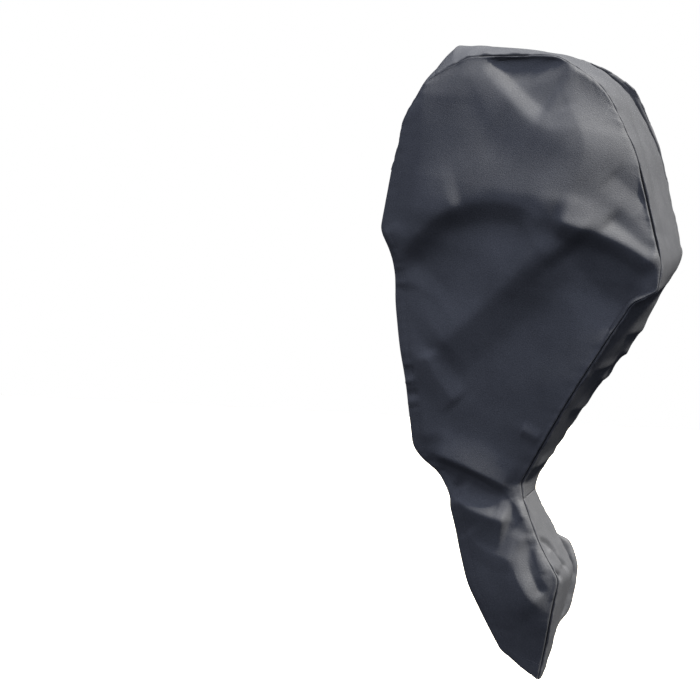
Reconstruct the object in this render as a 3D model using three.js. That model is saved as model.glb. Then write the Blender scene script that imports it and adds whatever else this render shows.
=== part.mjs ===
// An outboard motor cover: a full-length fitted cover of coated cloth, in the shape in which it hangs
// over what it covers. It has two side panels. Between them a long gusset runs from the front, up the
// brow, over the top, down the back and in under the hood to a narrow neck, and a second strip goes on
// from there down the leg to the tip. From the gusset's front end down the cover is open in front.
// Millimetres. +X is the back, -Y the side that is seen, +Z up. The origin lies just under the cloth at
// the middle of the top, where the cover rests on what it covers.
import * as THREE from "three";

const CLOTH = 1.6; // a coated cloth, as a solid sheet
const SEAM_GAP = 0.3; // between two pieces that are sewn together
const ALLOWANCE = 9; // of each piece, turned in at a seam
const HEM = 22; // turned in and stitched along the open edges
const HEM_STEP = 2.5; // where the hem's second layer ends
const HEM_LAYERS = 2; // of cloth in a hem
const LIP = 8; // first line of points beside a seam
const CLOTH_COLOUR = 0x4a4d54;

// The side panels at large. A level is a share of the way down a panel.
const PANEL_HEIGHT = 1000; // about, from level 0 to level 1
const TOP_LENGTH = 330; // of the top seam
const TOP_BLEND = 0.1; // levels over which lines down the panel spread from the top seam's length
const ARCH_REACH = 0.3; // level down to which those lines follow the top seam's arch
const ARCH_FADE = 2.2; // power with which they leave it
const TOP_ROUNDING = 0.13; // level where the panel has rounded over to its full width
const FRONT_FULLNESS = 0.9; // power: the less, the fuller the panel's front half
const BACK_BREAK = 1.7; // power: the less, the sharper the turn into the back quarter
const BACK_FULLNESS = 0.7; // power: the less, the fuller the back quarter

// How finely the cloth is divided.
const COLUMNS = 20; // across a side panel, between its hem and its seam
const ROWS_BESIDE_GUSSET = 9; // from the brow down to the gusset's front end
const ROWS_BELOW = 34; // from there to the bottom
const GUSSET_COLUMNS = 7; // across the gusset, between its lips
const PATH_STEPS = 10; // along each straight or rounded stretch of a path
const SAME_LEVEL = 1e-9; // two levels closer than this are the same one

// The seam between a side panel and the gusset, in the panel's own plane, from the gusset's front
// end, over the top and down to the tip. round: how far before a corner its rounding starts.
// half: from the middle plane out to the seam. crown: how far the gusset arches out between its
// seams. lean: how much further out the far seam hangs than the near one.
const FRONT_SEAM = [
  { level: 0.2, x: -221, z: -197, round: 0, half: 86, crown: 14, lean: 0 },
  { level: 0.165, x: -211, z: -162, round: 20, half: 89, crown: 16, lean: 0 },
  { level: 0.12, x: -197, z: -110, round: 18, half: 91, crown: 18, lean: 0 },
  { level: 0.05, x: -163, z: -57, round: 14, half: 92, crown: 20, lean: 1 },
  { level: 0.0, x: -146, z: -37, round: 0, half: 92, crown: 22, lean: 2 },
];
const TOP_SEAM = [
  { share: 0.0, x: -146, z: -37, round: 0, half: 92, crown: 22, lean: 2 },
  { share: 0.12, x: -110, z: -22, round: 10, half: 94, crown: 30, lean: 0 },
  { share: 0.23, x: -76, z: -8, round: 12, half: 96, crown: 16, lean: 0 },
  { share: 0.47, x: 5, z: -6, round: 25, half: 99, crown: 10, lean: -2 },
  { share: 0.64, x: 66, z: -6, round: 14, half: 101, crown: 3, lean: -9 },
  { share: 0.82, x: 113, z: -34, round: 20, half: 102, crown: 4, lean: -3 },
  { share: 1.0, x: 149, z: -63, round: 0, half: 102, crown: 6, lean: 2 },
];
const BACK_SEAM = [
  { level: 0.0, x: 149, z: -63, round: 0, half: 102, crown: 6, lean: 2 },
  { level: 0.05, x: 174, z: -112, round: 22, half: 101, crown: 8, lean: 3 },
  { level: 0.1, x: 199, z: -163, round: 20, half: 100, crown: 7, lean: 0 },
  { level: 0.17, x: 218, z: -238, round: 25, half: 100, crown: 6, lean: -6 },
  { level: 0.27, x: 244, z: -340, round: 12, half: 104, crown: 7, lean: -9 },
  { level: 0.34, x: 198, z: -406, round: 30, half: 107, crown: 13, lean: 2 },
  { level: 0.41, x: 157, z: -468, round: 30, half: 105, crown: 15, lean: 8 },
  { level: 0.51, x: 92, z: -569, round: 35, half: 95, crown: 9, lean: 2 },
  { level: 0.6, x: 40, z: -655, round: 30, half: 76, crown: 6, lean: 0 },
  { level: 0.67, x: 1, z: -722, round: 12, half: 56, crown: 2, lean: 0 },
  { level: 0.7, x: -5, z: -747, round: 10, half: 50, crown: 1, lean: 0 },
  { level: 0.77, x: 29, z: -819, round: 25, half: 51, crown: 3, lean: 0 },
  { level: 0.84, x: 67, z: -883, round: 12, half: 55, crown: 4, lean: 0 },
  { level: 0.9, x: 52, z: -944, round: 25, half: 46, crown: 3, lean: 0 },
  { level: 0.96, x: 36, z: -1012, round: 25, half: 25, crown: 2, lean: 0 },
  { level: 1.0, x: 21, z: -1068, round: 0, half: 14, crown: 1, lean: 0 },
];
const GUSSET_END = 0.2; // level of the gusset's front end
const NECK_LEVEL = 0.7; // where the upper gusset ends and the leg's gusset begins

// The open front edge of a side panel, from the gusset's end down. gap: from the middle plane.
const FRONT_EDGE = [
  { level: 0.2, x: -221, z: -197, round: 0, gap: 86 },
  { level: 0.24, x: -231, z: -242, round: 20, gap: 80 },
  { level: 0.285, x: -243, z: -297, round: 10, gap: 74 },
  { level: 0.325, x: -227, z: -334, round: 14, gap: 71 },
  { level: 0.36, x: -218, z: -375, round: 14, gap: 69 },
  { level: 0.4, x: -219, z: -416, round: 20, gap: 67 },
  { level: 0.47, x: -212, z: -494, round: 30, gap: 66 },
  { level: 0.52, x: -203, z: -552, round: 25, gap: 64 },
  { level: 0.59, x: -195, z: -626, round: 20, gap: 61 },
  { level: 0.625, x: -191, z: -668, round: 12, gap: 59 },
  { level: 0.645, x: -175, z: -688, round: 10, gap: 58 },
  { level: 0.67, x: -144, z: -711, round: 14, gap: 54 },
  { level: 0.7, x: -123, z: -744, round: 14, gap: 50 },
  { level: 0.78, x: -111, z: -834, round: 30, gap: 46 },
  { level: 0.84, x: -98, z: -903, round: 20, gap: 42 },
  { level: 0.9, x: -70, z: -962, round: 20, gap: 36 },
  { level: 1.0, x: -42, z: -1016, round: 0, gap: 30 },
];

// Half the cover's width at its widest, down each side panel, where across the panel that is, and how
// far the far panel swells out over its seam.
const BELLY = [
  { level: 0.0, near: 102, far: 104, across: 0.62, overSeam: 9 },
  { level: 0.06, near: 121, far: 119, across: 0.64, overSeam: 8 },
  { level: 0.14, near: 134, far: 129, across: 0.66, overSeam: 2 },
  { level: 0.24, near: 137, far: 132, across: 0.68, overSeam: 0 },
  { level: 0.31, near: 121, far: 117, across: 0.62, overSeam: 0 },
  { level: 0.38, near: 106, far: 106, across: 0.56, overSeam: 0 },
  { level: 0.5, near: 96, far: 96, across: 0.5, overSeam: 0 },
  { level: 0.6, near: 86, far: 87, across: 0.48, overSeam: 0 },
  { level: 0.66, near: 72, far: 74, across: 0.5, overSeam: 0 },
  { level: 0.7, near: 58, far: 60, across: 0.5, overSeam: 0 },
  { level: 0.75, near: 69, far: 76, across: 0.54, overSeam: 4 },
  { level: 0.82, near: 80, far: 98, across: 0.6, overSeam: 16 },
  { level: 0.88, near: 70, far: 94, across: 0.6, overSeam: 24 },
  { level: 0.93, near: 52, far: 68, across: 0.55, overSeam: 16 },
  { level: 0.97, near: 36, far: 38, across: 0.5, overSeam: 4 },
  { level: 1.0, near: 28, far: 28, across: 0.5, overSeam: 0 },
];
const BELLY_ROUND = 20; // how far before a row the run from one width to the next starts to bend
const SWELL_REACH = 26; // from the seam to where the swelling over it is greatest
const SWELL_FROM = 0.5; // share across the panel where it begins
const SWELL_RISE = 0.3; // share over which it grows

// The main folds of each panel. path: x and z of the crest or trough, from the front towards the back
// or from below upwards. rise: out of the panel, or into it where negative. left and right: how far
// the fold reaches to each side, as seen from the near side by someone who walks along the path.
const NEAR_FOLDS = [
  {
    name: "hood's lower edge, front",
    path: [[-205, -346], [-158, -299], [-115, -267], [-54, -250], [13, -252], [55, -267], [86, -280]],
    rise: 16, left: 55, right: 22,
  },
  {
    name: "hood's lower edge, back",
    path: [[86, -280], [147, -306], [196, -327], [242, -348]],
    rise: 15, left: 36, right: 22,
  },
  {
    name: "hollow under the back lip",
    path: [[105, -329], [160, -352], [225, -372]],
    rise: -18, left: 24, right: 50,
  },
  {
    name: "hollow under the hood",
    path: [[-175, -369], [-110, -316], [-50, -298], [30, -288]],
    rise: -14, left: 24, right: 34,
  },
  {
    name: "sling down to the front edge",
    path: [[-200, -496], [-135, -456], [-37, -393], [80, -290]],
    rise: 14, left: 34, right: 42,
  },
  {
    name: "break before the back quarter",
    path: [[84, -276], [80, -192], [92, -94], [70, -10]],
    rise: 7, left: 60, right: 34,
  },
  {
    name: "dimple below the top seam",
    path: [[72, -130], [38, -80], [14, -20]],
    rise: -16, left: 30, right: 26,
  },
  {
    name: "ridge before the dimple",
    path: [[46, -140], [-14, -78], [-54, -16]],
    rise: 7, left: 44, right: 22,
  },
  {
    name: "lower strain at the back seam",
    path: [[150, -246], [200, -286], [236, -320]],
    rise: -6, left: 20, right: 20,
  },
  {
    name: "upper strain at the back seam",
    path: [[150, -186], [196, -213], [220, -242]],
    rise: -6, left: 20, right: 20,
  },
  {
    name: "streak on the waist",
    path: [[-88, -592], [-126, -544], [-156, -502]],
    rise: 5, left: 18, right: 24,
  },
  {
    name: "hollow behind the front edge",
    path: [[-176, -624], [-188, -544], [-196, -484]],
    rise: -6, left: 16, right: 22,
  },
  {
    name: "bulge over the neck",
    path: [[-110, -674], [-40, -690], [10, -700]],
    rise: 8, left: 36, right: 18,
  },
  {
    name: "neck crease",
    path: [[-140, -690], [-75, -712], [-8, -746]],
    rise: -14, left: 18, right: 18,
  },
  {
    name: "fold below the neck",
    path: [[-90, -770], [-60, -778], [-28, -788]],
    rise: 9, left: 22, right: 18,
  },
  {
    name: "leg's main bulge",
    path: [[30, -930], [-2, -893], [-15, -851], [-8, -820], [8, -781]],
    rise: 15, left: 44, right: 22,
  },
  {
    name: "valley beside that bulge",
    path: [[48, -922], [30, -884], [22, -850], [26, -814]],
    rise: -6, left: 16, right: 16,
  },
];
const FAR_FOLDS = [
  {
    name: "hood's lower edge",
    path: [[-205, -334], [-110, -276], [0, -260], [95, -284], [165, -316], [240, -346]],
    rise: 15, left: 46, right: 24,
  },
  {
    name: "hollow under the hood",
    path: [[-165, -356], [-60, -310], [70, -320], [200, -370]],
    rise: -15, left: 26, right: 42,
  },
  {
    name: "sling down to the front edge",
    path: [[-180, -504], [-20, -420], [110, -334]],
    rise: 10, left: 32, right: 40,
  },
  {
    name: "dimple below the top seam",
    path: [[10, -144], [-12, -79], [-22, -18]],
    rise: -11, left: 32, right: 34,
  },
  {
    name: "strain at the back seam",
    path: [[150, -224], [192, -250], [226, -278]],
    rise: -6, left: 18, right: 20,
  },
  {
    name: "bulge over the neck",
    path: [[-110, -670], [-50, -684], [4, -698]],
    rise: 8, left: 36, right: 20,
  },
  {
    name: "neck crease",
    path: [[-138, -696], [-70, -718], [-8, -746]],
    rise: -13, left: 18, right: 18,
  },
  {
    name: "fold below the neck",
    path: [[-92, -774], [-56, -784], [-20, -790]],
    rise: 7, left: 20, right: 18,
  },
  {
    name: "dip in the leg",
    path: [[-60, -944], [-20, -899], [-10, -834]],
    rise: -7, left: 24, right: 24,
  },
];
const FOLD_STAYS_OFF_SEAM = 16; // folds die out over this much beside a seam
const FOLD_END = 0.22; // share of a fold's path over which it dies out at each end
const FOLD_LEFT_AT_ENDS = 0.25; // of its rise

// Dents and ridges across the gusset. run: which stretch of it, at: how far down that stretch (a
// level or a share). across: -1 at the near seam to 1 at the far one. slant: how the fold runs.
const GUSSET_FOLDS = [
  { run: "top", at: 0.24, reach: 0.035, across: 0, width: 1.2, slant: -0.06, rise: 5 },
  { run: "back", at: 0.27, reach: 0.012, across: 0, width: 1.2, slant: 0.005, rise: 4 },
  { run: "back", at: 0.3, reach: 0.012, across: -0.5, width: 0.5, slant: 0.02, rise: -5 },
  { run: "back", at: 0.52, reach: 0.012, across: 0.4, width: 0.6, slant: -0.01, rise: 5 },
  { run: "back", at: 0.56, reach: 0.01, across: 0.3, width: 0.6, slant: -0.01, rise: 4 },
  { run: "back", at: 0.8, reach: 0.022, across: -0.1, width: 0.45, slant: 0.03, rise: -5 },
];
const GUSSET_FOLD_SPREAD = 6; // power: the more, the closer these come to the seams

const mix = (a, b, t) => a + (b - a) * t;
const smooth = (t) => {
  const c = Math.min(1, Math.max(0, t));
  return c * c * (3 - 2 * c);
};

// A path through a table's rows with its corners rounded, as many close rows. Each number in the
// table runs along with x and z.
function roundedPath(rows) {
  const keys = Object.keys(rows[0]).filter((k) => k !== "round");
  const blend = (a, b, t) => Object.fromEntries(keys.map((k) => [k, mix(a[k], b[k], t)]));
  const length = (a, b) => Math.hypot(b.x - a.x, b.z - a.z);
  const out = [blend(rows[0], rows[0], 0)];
  for (let i = 1; i < rows.length; i++) {
    const [before, here, after] = [rows[i - 1], rows[i], rows[i + 1]];
    if (!after) {
      for (let k = 1; k <= PATH_STEPS; k++) out.push(blend(out.at(-1), here, 1 / (PATH_STEPS + 1 - k)));
      break;
    }
    const cutIn = Math.min(here.round, length(before, here) / 2);
    const cutOut = Math.min(here.round, length(here, after) / 2);
    const enter = blend(here, before, cutIn / length(before, here));
    const leave = blend(here, after, cutOut / length(here, after));
    const start = out.at(-1);
    for (let k = 1; k <= PATH_STEPS; k++) out.push(blend(start, enter, k / PATH_STEPS));
    for (let k = 1; k <= PATH_STEPS; k++) {
      const t = k / PATH_STEPS;
      out.push(blend(blend(enter, here, t), blend(here, leave, t), t));
    }
  }
  return out;
}

// The row of a path where key has the given value, between the path's own rows.
function rowAt(path, key, value) {
  const rising = path.at(-1)[key] > path[0][key];
  let i = path.findIndex((row) => (rising ? row[key] >= value - SAME_LEVEL : row[key] <= value + SAME_LEVEL));
  i = Math.max(1, i < 0 ? path.length - 1 : i);
  const [a, b] = [path[i - 1], path[i]];
  const t = b[key] === a[key] ? 0 : (value - a[key]) / (b[key] - a[key]);
  return Object.fromEntries(Object.keys(a).map((k) => [k, mix(a[k], b[k], t)]));
}

const frontSeam = roundedPath(FRONT_SEAM);
const topSeam = roundedPath(TOP_SEAM);
const backSeam = roundedPath(BACK_SEAM);
const frontEdge = roundedPath(FRONT_EDGE);
const asPath = (row) => ({ ...row, x: row.near, z: -PANEL_HEIGHT * row.level, round: BELLY_ROUND });
const belly = roundedPath(BELLY.map(asPath));

// Levels down a side panel, and shares across it, at which the cloth has its lines of points. A line
// lies close beside each seam and at the hem's inner edge.
const levels = [0, LIP / PANEL_HEIGHT];
for (let i = 1; i <= ROWS_BESIDE_GUSSET; i++) levels.push((GUSSET_END * i) / ROWS_BESIDE_GUSSET);
const lowest = 1 - (HEM + HEM_STEP) / PANEL_HEIGHT;
for (let i = 1; i < ROWS_BELOW; i++) levels.push(mix(GUSSET_END, lowest, i / ROWS_BELOW));
levels.push(lowest, 1 - HEM / PANEL_HEIGHT, 1);
const offNeck = levels.map((level) => Math.abs(level - NECK_LEVEL));
levels[offNeck.indexOf(Math.min(...offNeck))] = NECK_LEVEL;
const gussetEndRow = levels.indexOf(GUSSET_END);

function sharesAcross(width) {
  const shares = [0, HEM / width, (HEM + HEM_STEP) / width];
  const [first, last] = [shares[2], 1 - LIP / width];
  for (let i = 1; i < COLUMNS; i++) shares.push(mix(first, last, i / COLUMNS));
  return [...shares, last, 1];
}

// The lines of points along the gusset and its two seams, from its front end to the tip.
const topShares = sharesAcross(TOP_LENGTH);
const station = (run, path, key) => (at) => ({ run, at, ...rowAt(path, key, at) });
const stations = [
  ...levels.slice(1, gussetEndRow + 1).reverse().map(station("front", frontSeam, "level")),
  ...topShares.map(station("top", topSeam, "share")),
  ...levels.slice(1).map(station("back", backSeam, "level")),
];
stations.forEach((s, i) => {
  const [a, b] = [stations[Math.max(0, i - 1)], stations[Math.min(stations.length - 1, i + 1)]];
  const along = new THREE.Vector2(b.x - a.x, b.z - a.z).normalize();
  s.along = new THREE.Vector3(along.x, 0, along.y);
  s.out = new THREE.Vector3(-along.y, 0, along.x); // away from the panel, in its plane
});
for (const s of stations) {
  s.near = new THREE.Vector3(s.x, -s.half, s.z);
  s.far = new THREE.Vector3(s.x, s.half, s.z).addScaledVector(s.out, s.lean);
}

const neckStation = stations.findIndex((s) => s.run === "back" && s.at === NECK_LEVEL);

// At a point of a seam: the way in which both pieces' allowances are turned, half way between the
// panel and the gusset, and the way from that plane towards the panel's side of it.
function seamFrame(side, i) {
  const at = (k) => stations[Math.min(stations.length - 1, Math.max(0, k))][side];
  const along = at(i + 1).clone().sub(at(i - 1)).normalize();
  const across = new THREE.Vector3(0, side === "near" ? 1 : -1, 0);
  across.addScaledVector(along, -across.dot(along)).normalize();
  const intoPanel = new THREE.Vector3().crossVectors(along, across);
  if (intoPanel.dot(stations[i].out) > 0) intoPanel.negate();
  return {
    turned: intoPanel.clone().add(across).normalize(),
    towardsPanel: intoPanel.clone().sub(across).normalize(),
  };
}

// The height of one fold at a point of the panel's plane.
function foldAt(fold, x, z) {
  let best = { distance: Infinity };
  let walked = 0;
  for (let i = 1; i < fold.path.length; i++) {
    const [[ax, az], [bx, bz]] = [fold.path[i - 1], fold.path[i]];
    const length = Math.hypot(bx - ax, bz - az);
    const [dx, dz] = [(bx - ax) / length, (bz - az) / length];
    const t = Math.min(length, Math.max(0, (x - ax) * dx + (z - az) * dz));
    const [ox, oz] = [x - ax - dx * t, z - az - dz * t];
    const distance = Math.hypot(ox, oz);
    if (distance < best.distance) best = { distance, left: dx * oz - dz * ox > 0, walked: walked + t };
    walked += length;
  }
  const share = best.walked / walked;
  const reach = best.left ? fold.left : fold.right;
  const ends = smooth(share / FOLD_END) * smooth((1 - share) / FOLD_END);
  return fold.rise * mix(FOLD_LEFT_AT_ENDS, 1, ends) * Math.exp(-((best.distance / reach) ** 2));
}

// How a side panel's half width runs from its front rim over its widest place to its back seam.
function roundness(share, widest) {
  if (share < widest) return Math.sin((Math.PI / 2) * (share / widest)) ** FRONT_FULLNESS;
  return (1 - ((share - widest) / (1 - widest)) ** BACK_BREAK) ** BACK_FULLNESS;
}

// One side panel: a grid of points on its outer face, the way its rim is turned, and its thickness.
function sidePanel(side) {
  const sign = side === "near" ? -1 : 1;
  const folds = side === "near" ? NEAR_FOLDS : FAR_FOLDS;
  const first = stations.findIndex((s) => s.run === "top");
  const seamLeft = (row) => first - row; // stations up the front
  const seamTop = (column) => first + column;
  const seamRight = (row) => first + topShares.length - 1 + row;
  const [topFront, topBack] = [stations[seamTop(0)][side], stations[seamTop(topShares.length - 1)][side]];
  const grid = levels.map((level, row) => {
    const back = stations[seamRight(row)];
    const right = back[side];
    const edge = rowAt(frontEdge, "level", Math.max(level, GUSSET_END));
    const sewn = row <= gussetEndRow;
    const left = sewn ? stations[seamLeft(row)][side] : new THREE.Vector3(edge.x, sign * edge.gap, edge.z);
    const reach = Math.hypot(right.x - left.x, right.z - left.z);
    const width = mix(TOP_LENGTH, reach, smooth(level / TOP_BLEND));
    const section = rowAt(belly, "level", level);
    const arch = Math.max(0, 1 - level / ARCH_REACH) ** ARCH_FADE;
    const rounding = 1 - Math.max(0, 1 - level / TOP_ROUNDING) ** 2;
    return sharesAcross(width).map((share, column) => {
      if (column === 0) return left.clone();
      const above = stations[seamTop(column)];
      const top = above[side];
      if (row === 0) return top.clone();
      if (share === 1) return right.clone();
      const bow = top.clone().sub(topFront.clone().lerp(topBack, topShares[column]));
      const x = mix(left.x, right.x, share) + arch * bow.x;
      const z = mix(left.z, right.z, share) + arch * bow.z;
      const rim = Math.abs(share < section.across ? left.y : right.y);
      let half = mix(rim, section[side], roundness(share, section.across));
      half = mix(Math.abs(top.y), half, rounding);
      const [offBack, offTop] = [(1 - share) * width, level * PANEL_HEIGHT];
      const offFront = sewn ? share * width : Infinity;
      const still = (off) => smooth(off / FOLD_STAYS_OFF_SEAM);
      const folded = folds.reduce((sum, fold) => sum + foldAt(fold, x, z), 0);
      half += still(offBack) * still(offTop) * still(offFront) * folded;
      const point = new THREE.Vector3(x, sign * half, z);
      if (side === "near") return point;
      const off = Math.min(offBack, offTop) / SWELL_REACH;
      const swell = section.overSeam * off * Math.exp(1 - off) * smooth((share - SWELL_FROM) / SWELL_RISE);
      const out = back.out.clone().multiplyScalar(offTop + 1).addScaledVector(above.out, offBack + 1);
      return point.addScaledVector(out.normalize(), swell);
    });
  });
  // The rim of the grid: a seam where it meets the gusset, else a hem's rolled edge.
  const seamAt = (row, column) => {
    if (row === 0) return seamTop(column);
    if (column === grid[0].length - 1) return seamRight(row);
    if (column === 0 && row <= gussetEndRow) return seamLeft(row);
    return null;
  };
  const inHem = (row, column) => (levels[row] > GUSSET_END && column <= 1) || row >= levels.length - 2;
  return sheetSolid(grid, {
    flip: side === "far",
    thickness: (row, column) => CLOTH * (inHem(row, column) ? HEM_LAYERS : 1),
    rim: (row, column) => {
      const station = seamAt(row, column);
      if (station === null) return null;
      const frame = seamFrame(side, station);
      return { turned: frame.turned, shift: frame.towardsPanel.clone().multiplyScalar(SEAM_GAP / 2) };
    },
  });
}

// A stretch of the gusset, from one station to another.
function gusset(from, to) {
  const grid = [];
  for (let i = from; i <= to; i++) {
    const s = stations[i];
    const width = s.near.distanceTo(s.far);
    const lip = LIP / width;
    const shares = [0, lip];
    for (let k = 1; k <= GUSSET_COLUMNS; k++) shares.push(mix(lip, 1 - lip, k / GUSSET_COLUMNS));
    shares.push(1);
    grid.push(shares.map((share) => {
      const across = 2 * share - 1;
      const p = s.near.clone().lerp(s.far, share);
      let arch = s.crown * (1 - across ** 2);
      for (const f of GUSSET_FOLDS.filter((row) => row.run === s.run)) {
        const down = (s.at - f.at - f.slant * (across - f.across)) / f.reach;
        const sideways = (across - f.across) / f.width;
        const offSeams = 1 - across ** GUSSET_FOLD_SPREAD;
        arch += f.rise * Math.exp(-(down ** 2) - sideways ** 2) * offSeams;
      }
      return p.addScaledVector(s.out, arch);
    }));
  }
  const [lastRow, lastColumn] = [grid.length - 1, grid[0].length - 1];
  return sheetSolid(grid, {
    flip: false,
    thickness: (row) => CLOTH * (from === 0 && row <= 1 ? HEM_LAYERS : 1),
    rim: (row, column) => {
      const i = from + row;
      const crossSeam = i === neckStation && (row === 0 || row === lastRow);
      const alongShift = crossSeam ? (row === 0 ? 1 : -1) * (SEAM_GAP / 2) : 0;
      const shift = stations[i].along.clone().multiplyScalar(alongShift);
      if (column === 0 || column === lastColumn) {
        const frame = seamFrame(column === 0 ? "near" : "far", i);
        return { turned: frame.turned, shift: shift.addScaledVector(frame.towardsPanel, -SEAM_GAP / 2) };
      }
      return crossSeam ? { turned: stations[i].out.clone().negate(), shift } : null;
    },
  });
}

// A sheet as a closed solid: its outer face is the grid, its rim is turned in, and its inner face
// follows at the sheet's thickness. flip says which side of the grid faces out.
function sheetSolid(grid, { flip, thickness, rim }) {
  const [rows, columns] = [grid.length, grid[0].length];
  const clampRow = (r) => Math.min(rows - 1, Math.max(0, r));
  const clampColumn = (c) => Math.min(columns - 1, Math.max(0, c));
  const normalAt = (r, c) => {
    const down = grid[clampRow(r + 1)][c].clone().sub(grid[clampRow(r - 1)][c]);
    const across = grid[r][clampColumn(c + 1)].clone().sub(grid[r][clampColumn(c - 1)]);
    return new THREE.Vector3().crossVectors(down, across).multiplyScalar(flip ? -1 : 1).normalize();
  };
  const outer = [];
  const inner = [];
  for (let r = -1; r <= rows; r++) {
    outer.push([]);
    inner.push([]);
    for (let c = -1; c <= columns; c++) {
      const [row, column] = [clampRow(r), clampColumn(c)];
      const onRim = row === 0 || row === rows - 1 || column === 0 || column === columns - 1;
      const beyond = row !== r || column !== c;
      const point = grid[row][column];
      const normal = normalAt(row, column);
      const thick = thickness(row, column);
      if (!onRim) {
        outer.at(-1).push(point.clone());
        inner.at(-1).push(point.clone().addScaledVector(normal, -thick));
        continue;
      }
      const stepRow = row === 0 ? 1 : row === rows - 1 ? -1 : 0;
      const stepColumn = column === 0 ? 1 : column === columns - 1 ? -1 : 0;
      const sewn = rim(row, column);
      const turned = sewn ? sewn.turned : normal;
      const inward = grid[row + stepRow][column + stepColumn].clone().sub(point).normalize();
      const edge = sewn ? point.clone().add(sewn.shift) : point.clone();
      if (!sewn) {
        const hemmed = point.clone().addScaledVector(normal, -CLOTH * HEM_LAYERS);
        outer.at(-1).push(beyond ? hemmed : edge);
        inner.at(-1).push(hemmed.clone());
        continue;
      }
      const wedge = inward.clone().add(turned);
      const halfAngle = Math.acos(Math.min(1, Math.max(-1, inward.dot(turned)))) / 2;
      const backing = inward.clone().addScaledVector(turned, -inward.dot(turned)).normalize();
      if (!beyond) {
        outer.at(-1).push(edge);
        inner.at(-1).push(edge.clone().addScaledVector(wedge.normalize(), CLOTH / Math.sin(halfAngle)));
      } else {
        const tip = edge.clone().addScaledVector(turned, ALLOWANCE);
        outer.at(-1).push(tip);
        inner.at(-1).push(tip.clone().addScaledVector(backing, CLOTH));
      }
    }
  }
  return closedGeometry(outer, inner, flip);
}

// Joins two grids of points, face to face, into one closed body.
function closedGeometry(outer, inner, flip) {
  const ids = new Map();
  const positions = [];
  const index = [];
  const id = (p) => {
    const key = p.toArray().map((n) => n.toFixed(3)).join(" ");
    if (!ids.has(key)) {
      ids.set(key, ids.size);
      positions.push(p.x, p.y, p.z);
    }
    return ids.get(key);
  };
  const face = (a, b, c) => {
    const [i, j, k] = [id(a), id(b), id(c)];
    if (i !== j && j !== k && k !== i) index.push(...(flip ? [i, k, j] : [i, j, k]));
  };
  const quad = (a, b, c, d) => {
    if (a.distanceTo(c) < b.distanceTo(d)) {
      face(a, b, c);
      face(a, c, d);
    } else {
      face(a, b, d);
      face(b, c, d);
    }
  };
  const [rows, columns] = [outer.length, outer[0].length];
  for (let r = 0; r + 1 < rows; r++)
    for (let c = 0; c + 1 < columns; c++) {
      quad(outer[r][c], outer[r + 1][c], outer[r + 1][c + 1], outer[r][c + 1]);
      quad(inner[r][c], inner[r][c + 1], inner[r + 1][c + 1], inner[r + 1][c]);
    }
  const around = [];
  for (let c = 0; c < columns; c++) around.push([0, c]);
  for (let r = 1; r < rows; r++) around.push([r, columns - 1]);
  for (let c = columns - 2; c >= 0; c--) around.push([rows - 1, c]);
  for (let r = rows - 2; r >= 0; r--) around.push([r, 0]);
  for (let i = 0; i + 1 < around.length; i++) {
    const [[r, c], [s, d]] = [around[i], around[i + 1]];
    quad(outer[r][c], outer[s][d], inner[s][d], inner[r][c]);
  }
  const geometry = new THREE.BufferGeometry();
  geometry.setAttribute("position", new THREE.Float32BufferAttribute(positions, 3));
  geometry.setIndex(index);
  geometry.computeVertexNormals();
  return geometry;
}

const cloth = new THREE.MeshStandardMaterial({ color: CLOTH_COLOUR, roughness: 0.75, metalness: 0 });
const cover = new THREE.Group();
function add(name, geometry) {
  const mesh = new THREE.Mesh(geometry, cloth);
  mesh.name = name;
  cover.add(mesh);
}
add("side_panel_near", sidePanel("near"));
add("side_panel_far", sidePanel("far"));
add("gusset_upper", gusset(0, neckStation));
add("gusset_leg", gusset(neckStation, stations.length - 1));

export default cover;
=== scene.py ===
# The looks of a full-length fitted outboard motor cover of coated dark grey cloth: two side panels and
# a gusset between them, each a thin sheet with its folds, creases, puckers, hems and topstitching.
# Tables and lengths are in millimetres, in the frame's own axes: +X is the back, -Y the near side and
# +Z up. Meshes, the camera's place and the sheets' cuts are in metres.
import math
from types import SimpleNamespace

import bpy
import numpy as np
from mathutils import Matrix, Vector, noise


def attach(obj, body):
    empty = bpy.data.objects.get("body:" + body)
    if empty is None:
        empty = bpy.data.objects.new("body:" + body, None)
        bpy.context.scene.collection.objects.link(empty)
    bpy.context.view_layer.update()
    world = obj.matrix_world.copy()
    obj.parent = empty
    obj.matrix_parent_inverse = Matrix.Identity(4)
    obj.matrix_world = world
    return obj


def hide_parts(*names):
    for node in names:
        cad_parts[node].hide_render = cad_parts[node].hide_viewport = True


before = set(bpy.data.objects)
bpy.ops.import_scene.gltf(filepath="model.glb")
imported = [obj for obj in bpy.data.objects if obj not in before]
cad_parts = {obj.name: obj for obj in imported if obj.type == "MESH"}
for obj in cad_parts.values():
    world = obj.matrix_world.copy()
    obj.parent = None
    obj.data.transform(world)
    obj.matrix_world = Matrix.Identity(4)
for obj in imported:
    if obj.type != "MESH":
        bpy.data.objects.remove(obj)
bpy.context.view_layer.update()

MM = 0.001
CLOTH = 1.1  # thickness of the coated cloth
SEAM_GAP = 0.3  # between two pieces that are sewn together
ALLOWANCE = 9  # of each piece, turned in at a seam
HEM = 22  # turned in and stitched along the open edges
HEM_GAP = 1.5  # from the cloth's outer face to the hem's second layer
HEM_STITCH = 19  # from the folded edge to the line of stitches
WELD = 0.02  # points of one sheet that lie closer than this are one point

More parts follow.
